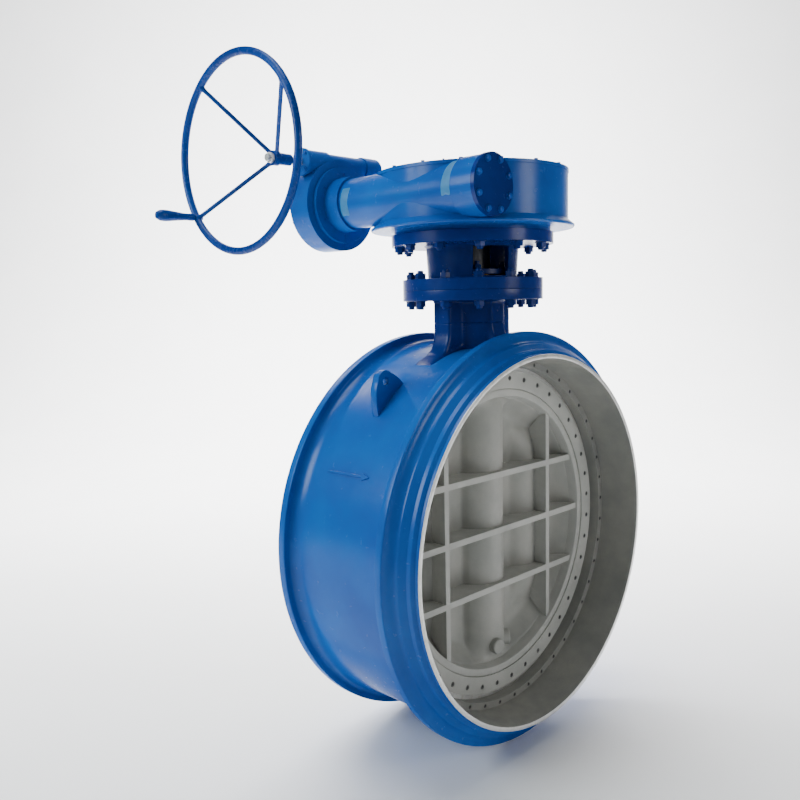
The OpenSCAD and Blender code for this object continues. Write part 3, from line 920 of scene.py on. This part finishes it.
    def build(self) -> None:
        """Build and dress every piece of the body."""
        p = self.palette
        shades = (p.blue, p.lip, p.grey)
        self.barrel_shell().piece("barrel", Body.VALVE, shades, "blue_enamel", ("body_casting",))
        # the neck and neck flange take the darker copy of the blue enamel: painted shade
        self.neck_tube().piece("neck", Body.VALVE, (p.painted_shade_blue,), "blue_enamel", sharp=50)
        self.neck_flange().piece("neck_flange", Body.VALVE, (p.painted_shade_blue,), "blue_enamel")
        self.foot().piece("foot_boss", Body.VALVE, (p.blue,), "blue_enamel")
        for side, name in ((-1, "lug_worm_side"), (1, "lug_far_side")):
            self.lug(-side).piece(name, Body.VALVE, (p.blue,), "blue_enamel")


@dataclass
class Fasteners:
    """Nuts, bolt heads and screws with chamfers, washers and stud ends."""

    palette: Palette

    def fit(
        self, name: str, shape: Surface, frames: Array, finish: tuple, nodes: str, body: Body = Body.VALVE
    ) -> None:
        """Repeat one fastener at its placings and make the piece.

        Args:
            name: the piece's name.
            shape: one fastener.
            frames: the placings.
            finish: its material and the record's slot.
            nodes: the CAD nodes that it stands for, with spaces between.
            body: the body that it moves with.
        """
        shape.placed(frames).piece(name, body, finish[:1], finish[1], nodes.split())

    def build(self) -> None:
        """Build each set on its bolt circle."""
        p = self.palette
        x, y, z = Axis.X, Axis.Y, Axis.Z
        deep, blue, dark = (p.deep, "blue_enamel_deep"), (p.bolt, "blue_enamel"), (p.screw, "bare_steel")
        cap, flange = centre_of("worm_end_cap"), centre_of("input_end_flange")
        worm = (float(cap[0]), 0.0, float(cap[2]))
        entry = (0.0, float(flange[1]), float(flange[2]))
        above = circle_frames(12, 208, 15, z, 858.1)
        below = circle_frames(12, 208, 15, z, 786.9, flip=True)
        nut = Hex(30, 17, 10, 9, 2.0).surface()
        self.fit("neck_nuts_set", nut, np.concatenate([above, below]), deep, "neck_nuts neck_studs")
        frames = circle_frames(12, 244, 15, z, 968.9, flip=True)
        self.fit("yoke_bolt_heads", Hex(30, 15, 10, 8, 2.0).surface(), frames, deep, "yoke_bolts")
        nut = Hex(24, 13, 8, 12, 1.6).surface()
        self.fit("gland_nuts_set", nut, circle_frames(4, 101, 48, z, 888), deep, "gland_nuts gland_studs")
        frames = circle_frames(8, 77, 22.5, y, -282.6, worm, True)
        self.fit("cap_bolt_heads", Hex(17, 6.4, washer=1.2).surface(), frames, blue, "worm_end_cap_bolts")
        frames = circle_frames(16, 311, 11.25, z, 1207.0)
        self.fit("cover_bolt_heads", Hex(11, 5.0, washer=0.6).surface(), frames, blue, "gear_cover_bolts")
        frames = circle_frames(8, 98, 22.5, z, -671, flip=True)
        self.fit("foot_bolt_heads", Hex(19, 7.0, washer=1.2).surface(), frames, deep, "bottom_cover_bolts")
        small = Hex(10, 4.4, washer=0.6).surface()
        frames = circle_frames(8, 147.4, 22.5, y, 475.5, worm, skip=(1, 2))
        self.fit("rear_bolt_heads", small, frames, blue, "input_rear_cover_bolts")
        frames = circle_frames(4, 36, 45, x, -379, entry, True)
        self.fit("entry_bolt_heads", small, frames, blue, "input_end_flange_bolts")
        frames = circle_frames(44, 579, 2, y, -151.5, flip=True)
        screw = SocketScrew(7.0, 7.5, 3.6).surface()
        self.fit("seat_clamp_screw_set", screw, frames, dark, "seat_clamp_screws")
        frames = circle_frames(40, 525, 4.5, y, -123.4, flip=True)
        screw = SocketScrew(8.6, 6.4, 4.2).surface()
        self.fit("retainer_screw_set", screw, frames, dark, "retainer_screws", Body.DISC)


@dataclass
class DiscFace:
    """The disc's casting: a dished plate, a stem hub and two bulges, run together with wide fillets."""

    palette: Palette
    half: float = 14.0
    hub: float = 98.0
    bulge: float = 82.0
    bulge_place: float = 250.0
    rim_inner: float = 465.0
    blend: float = 52.0

    def relief(self, x: Array, z: Array, front: bool) -> Array:
        """Height of the casting towards one face: a soft maximum of plate, half-round hub and bulges.

        Args:
            x: places across.
            z: places up.
            front: whether it is the face with the ribs.

        Returns:
            The height off the middle plane, positive outwards.
        """
        r = np.hypot(x, z)
        if front:
            slope = np.clip((r - 395) / 63, 0, 1)
            plate = self.half + 74 * slope**1.3
        else:
            plate = np.where(r > 400, self.half + (r - 400) * 0.35, self.half)
        fade = np.clip((470 - np.abs(z)) / 40, 0, 1)
        hub = np.sqrt(np.maximum(self.hub**2 - x**2, 0)) * np.sqrt(fade * (2 - fade))
        side = np.clip((330 - np.abs(z)) / 130, 0, 1)
        shift = -18.0 if front else 18.0
        arch = np.sqrt(np.maximum(self.bulge**2 - (np.abs(x) - self.bulge_place) ** 2, 0))
        bulge = (arch + shift) * np.sqrt(side * (2 - side))
        blended = plate
        for body, k in ((hub, self.blend), (bulge, self.blend * 0.7)):
            blended = np.maximum(blended, body) + np.maximum(k - np.abs(blended - body), 0) ** 2 / (4 * k)
        return blended

    def plate(self) -> Surface:
        """Front and back reliefs over columns of equal x, each stretched to the round edge and joined there.

        Returns:
            The closed surface.
        """
        reach = self.rim_inner + 3
        spans = ((-1, -0.24, 64), (-0.23, 0.23, 72), (0.24, 1, 64))
        u = np.concatenate([np.linspace(*span) for span in spans])
        x = reach * np.sin(u * math.pi / 2) * 0.9999
        v = np.linspace(-1, 1, 150)
        gx, gv = np.meshgrid(x, v, indexing="ij")
        gz = gv * np.sqrt(reach**2 - gx**2)
        front = np.stack([gx, -self.relief(gx, gz, True), gz], -1)
        back = np.stack([gx, self.relief(gx, gz, False), gz], -1)
        return Surface.grid(closed_ends(np.concatenate([front, back[:, ::-1]], 1)), False, True)

    def rim(self) -> Surface:
        """Turned rim round Y: inner slope, front lip, seat for the seal and the outer edge.

        Returns:
            The surface.
        """
        loop = [(440, -40), (458, -88), (465, -121), (487, -121), (490, -118), (490, -96.5)]
        loop += [(546, -96.5), (546, -58), (528, -42), (470, -20), (430, 14), (430, -20)]
        return turned(soften(loop, 2.0, 3), Axis.Y, segments=224)

    def hub_ends(self) -> Surface:
        """Turned journals of the hub above and below the dish, and two round bosses near the lower one.

        Returns:
            The surface.
        """
        parts = []
        for s in (-1, 1):
            places = ((60.1, 420), (95, 420), (95, 452), (88, 460), (88, 552), (60.1, 552))
            profile = soften([(r, s * z) for r, z in places], 4, 4)
            parts.append(turned(profile, Axis.Z, segments=96))
        tube = turned(soften([(60.1, -425), (84, -425), (84, 425), (60.1, 425)], 2, 2), Axis.Z, segments=64)
        profile = [(0, 117.9)] + quarter(21, 117.9, 27, 111, 5) + [(27, 96), (31, 84), (31, 60), (0, 60)]
        boss = turned(profile, Axis.Z, segments=40, closed=False)
        for a in (-98, -45):
            c, s = math.cos(math.radians(a)), math.sin(math.radians(a))
            parts.append(boss.placed(np.array([[[0, -s, c, 0], [0, c, s, 0], [-1, 0, 0, -405]]], float)))
        return Surface.join(parts + [tube])

    def build(self) -> None:
        """Build and dress the disc's casting."""
        p = self.palette
        self.plate().piece("disc_face", Body.DISC, (p.cast,), "grey_coat", ("disc_casting",), sharp=60)
        # the disc rim takes the lighter copy of the grey coat: painted light
        self.rim().piece("disc_rim", Body.DISC, (p.pale,), "grey_coat")
        self.hub_ends().piece("disc_hub_ends", Body.DISC, (p.cast,), "grey_coat", ("disc_hub",), sharp=50)


@dataclass
class Handwheel:
    """Bent tube rim, three coned spokes welded to rim and hub, and the crank grip."""

    palette: Palette
    plane: float = -637.0
    radius: float = 305.0
    tube: float = 12.5
    spoke: float = 7.0
    spokes: tuple[float, ...] = (51.5, 142.5, -37.5)

    def wheel(self) -> Surface:
        """Rim as a tube swept round a circle, spokes as tubes that swell at both ends, and a turned hub.

        Returns:
            The surface.
        """
        entry = centre_of("input_end_flange")
        centre = np.array([0.0, entry[1], entry[2]])
        t = np.linspace(0, 2 * math.pi, 192, endpoint=False)
        rim = np.stack([self.plane + 0 * t, self.radius * np.cos(t), self.radius * np.sin(t)], -1) + centre
        parts = [swept(rim, self.tube + 0.25 * np.sin(5 * t + 1), 28, True)]
        s = np.linspace(0, 1, 40)
        swell = self.spoke + 6 * np.exp(-((s / 0.035) ** 2)) + 4.5 * np.exp(-(((1 - s) / 0.03) ** 2))
        for angle in np.radians(self.spokes):
            reach = 14 + (self.radius - 18) * s
            x = -489 + (self.plane + 489) * s
            path = np.stack([x, reach * math.cos(angle), reach * math.sin(angle)], -1) + centre
            parts.append(swept(path, swell, 20))
        hub = [(12.05, -500), (23, -500), (24, -498), (24, -478), (19.5, -472), (19, -426), (12.05, -424)]
        parts.append(turned(soften(hub, 1.6, 3), Axis.X, tuple(centre), 64))
        return Surface.join(parts)

    def grip(self) -> Surface:
        """Turned pear-shaped grip round X: a smooth profile from its neck to its rounded end.

        Returns:
            The surface.
        """
        low, high = (np.asarray(c) * 1000 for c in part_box("crank_grip"))
        spot = (0.0, float((low[1] + high[1]) / 2 - stem_y() * 1000), float((low[2] + high[2]) / 2))
        wide = float(high[2] - low[2]) / 2
        s = np.linspace(0, 1, 40)
        along = [0, 0.04, 0.1, 0.25, 0.5, 0.75, 0.9, 0.97, 1]
        share = [0.62, 0.7, 0.6, 0.62, 0.8, 1.0, 0.97, 0.8, 0.5]
        soft = np.convolve(np.pad(np.interp(s, along, share), 2, mode="edge"), np.ones(5) / 5, "valid")
        x = high[0] + (low[0] - high[0]) * s
        profile = np.concatenate([[(6.2, x[0])], np.stack([soft * wide, x], -1), [(0.0, x[-1])]])
        return turned(profile, Axis.X, spot, 48, closed=False)

    def build(self) -> None:
        """Build and dress the wheel and its grip."""
        p = self.palette
        rim, slot = (p.rim,), "blue_enamel_deep"
        self.wheel().piece("handwheel_welded", Body.INPUT, rim, slot, ("handwheel",))
        self.grip().piece("crank_grip_turned", Body.CRANK, rim, slot, ("crank_grip",), sharp=60)


@dataclass
class TapeBands:
    """Two strips of pale tape left on the worm tube."""

    palette: Palette
    bands: tuple[tuple[float, ...], ...] = ((-188, -152, 98, 196, 84.0), (262, 298, 150, 212, 84.0))

    def strip(self, y0: float, y1: float, a0: float, a1: float, radius: float) -> Surface:
        """Thin closed patch of a cylinder round the tube, slightly skewed, with an uneven torn end.

        Args:
            y0: front edge.
            y1: rear edge.
            a0: first angle in degrees, from +X towards +Z.
            a1: last angle.
            radius: of the tube under it.

        Returns:
            The surface.
        """
        worm = centre_of("worm_end_cap")
        a = np.radians(np.linspace(a0, a1, 48))[:, None]
        v = np.linspace(0, 1, 12)[None]
        share = (a - a[0]) / (a[-1] - a[0])
        y = y0 + (y1 - y0) * v + 9 * (share - 0.5) + 1.2 * np.sin(9 * share) * (v - 0.5)
        a = a + 0.05 * share**6 * np.sin(v * 9)
        out = radius + 1.0 + 0.35 * np.sin(7 * v + 11 * share)
        edge = np.minimum(1, 10 * np.minimum(v, 1 - v))
        layers = []
        for lift in (out * 0 + radius - 1.0, radius + (out - radius) * edge + 0.15):
            layers.append(np.stack([worm[0] + lift * np.cos(a), y, worm[2] + lift * np.sin(a)], -1))
        loop = np.concatenate([layers[1], layers[0][:, ::-1]], 1)
        return Surface.grid(closed_ends(loop), False, True)

    def build(self) -> None:
        """Build both strips."""
        for number, band in enumerate(self.bands, 1):
            name, finish = f"tape_band_{number}", (self.palette.tape,)
            self.strip(*band).piece(name, Body.VALVE, finish, "blue_enamel", sharp=60)


# ------------------------------------------------------------------ studio
@dataclass(frozen=True)
class Lamp:
    """One soft area light."""

    name: str
    place: Point
    aim: Point
    size: tuple[float, float]
    power: float
    tint: Point = (1.0, 1.0, 1.0)

    def hang(self) -> None:
        """Put the lamp in the scene, facing its aim."""
        data = bpy.data.lights.new(self.name, "AREA")
        data.shape = "RECTANGLE"
        data.size, data.size_y = self.size
        data.energy = self.power
        data.color = self.tint
        made = bpy.data.objects.new(self.name, data)
        bpy.context.scene.collection.objects.link(made)
        made.location = self.place
        made.rotation_euler = (Vector(self.aim) - Vector(self.place)).to_track_quat("-Z", "Y").to_euler()


@dataclass
class Studio:
    """Plain pale floor that sweeps up far behind, soft lamps, sky tone and the camera."""

    palette: Palette
    floor_z: float = -0.684
    sweep_start: float = 7.0
    sweep_radius: float = 5.0
    lamps: tuple[Lamp, ...] = (
        Lamp("side_window", (-5.2, 2.2, 3.0), (0.0, -0.3, 0.1), (3.0, 2.6), 230.0, (0.88, 0.98, 1.0)),
        Lamp("top_panel", (-1.2, 0.4, 5.2), (0.0, -0.3, 0.4), (3.0, 2.4), 150.0, (0.95, 0.98, 1.0)),
        Lamp("front_fill", (1.8, -6.5, 2.2), (0.0, -0.3, 0.0), (2.2, 2.2), 95.0, (1.0, 0.99, 0.97)),
        Lamp("backdrop_wash", (2.2, 2.2, 4.4), (4.6, 4.6, 0.6), (7.0, 2.0), 2600.0),
    )
    place: Point = (-2.2480, -2.1384, 0.7795)
    turn: Point = (44.345, -6.485, -1.219)
    lens: float = 37.994

    def floor(self) -> None:
        """Sheet with a level part and a wide quarter-round rise behind, seen from the camera."""
        s = np.linspace(-6, 14, 60)
        start, radius = self.sweep_start, self.sweep_radius
        end = start + radius
        bend = radius - np.sqrt(np.maximum(radius**2 - np.clip(s - start, 0, radius) ** 2, 0))
        rise = np.where(s < start, 0.0, bend) + np.maximum(s - end, 0) * 2
        along = np.where(s < end, s, end)
        w = np.linspace(-16, 16, 9)
        yaw = math.radians(self.turn[0])
        x = self.place[0] + along[:, None] * math.cos(yaw) - w * math.sin(yaw)
        y = self.place[1] + along[:, None] * math.sin(yaw) + w * math.cos(yaw)
        z = self.floor_z + rise[:, None] + 0 * w
        grid = Surface.grid(np.stack([x, y, z], -1))
        mesh = bpy.data.meshes.new("pale_floor")
        mesh.from_pydata(grid.verts.tolist(), [], grid.faces[0].tolist())
        mesh.polygons.foreach_set("use_smooth", np.ones(len(mesh.polygons), bool))
        mesh.materials.append(self.palette.floor)
        made = bpy.data.objects.new("pale_floor", mesh)
        bpy.context.scene.collection.objects.link(made)

    def sky(self) -> None:
        """Even, dim, slightly cool light from all round."""
        world = bpy.data.worlds.new("studio")
        world.use_nodes = True
        ground = world.node_tree.nodes["Background"]
        ground.inputs[0].default_value = (0.9, 0.95, 1.0, 1.0)
        ground.inputs[1].default_value = 0.2
        bpy.context.scene.world = world

    def camera(self) -> None:
        """Camera from its place and its yaw, pitch and roll."""
        yaw, pitch, roll = (math.radians(a) for a in self.turn)
        ahead = np.array([math.cos(yaw) * math.cos(pitch), math.sin(yaw) * math.cos(pitch), math.sin(pitch)])
        right = np.cross(ahead, [0, 0, 1.0])
        right /= np.linalg.norm(right)
        up = np.cross(right, ahead)
        level = math.cos(roll) * right + math.sin(roll) * up
        upright = math.cos(roll) * up - math.sin(roll) * right
        rows = np.column_stack([level, upright, -ahead, self.place]).tolist()
        data = bpy.data.cameras.new("camera")
        data.lens, data.sensor_width = self.lens, 36.0
        made = bpy.data.objects.new("camera", data)
        bpy.context.scene.collection.objects.link(made)
        made.matrix_world = Matrix(rows + [[0, 0, 0, 1]])
        bpy.context.scene.camera = made

    def build(self) -> None:
        """Build the studio."""
        self.floor()
        self.sky()
        for lamp in self.lamps:
            lamp.hang()
        self.camera()


def main() -> None:
    """Load the frame and build each sub-assembly in order."""
    logging.basicConfig(level=logging.INFO, format="%(name)s: %(message)s")
    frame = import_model()
    palette = Palette()
    Studio(palette).build()
    Skin(palette).dress(frame)
    for maker in (BodyCasting, Fasteners, DiscFace, Handwheel, TapeBands):
        maker(palette).build()


if __name__ == "__main__":
    main()
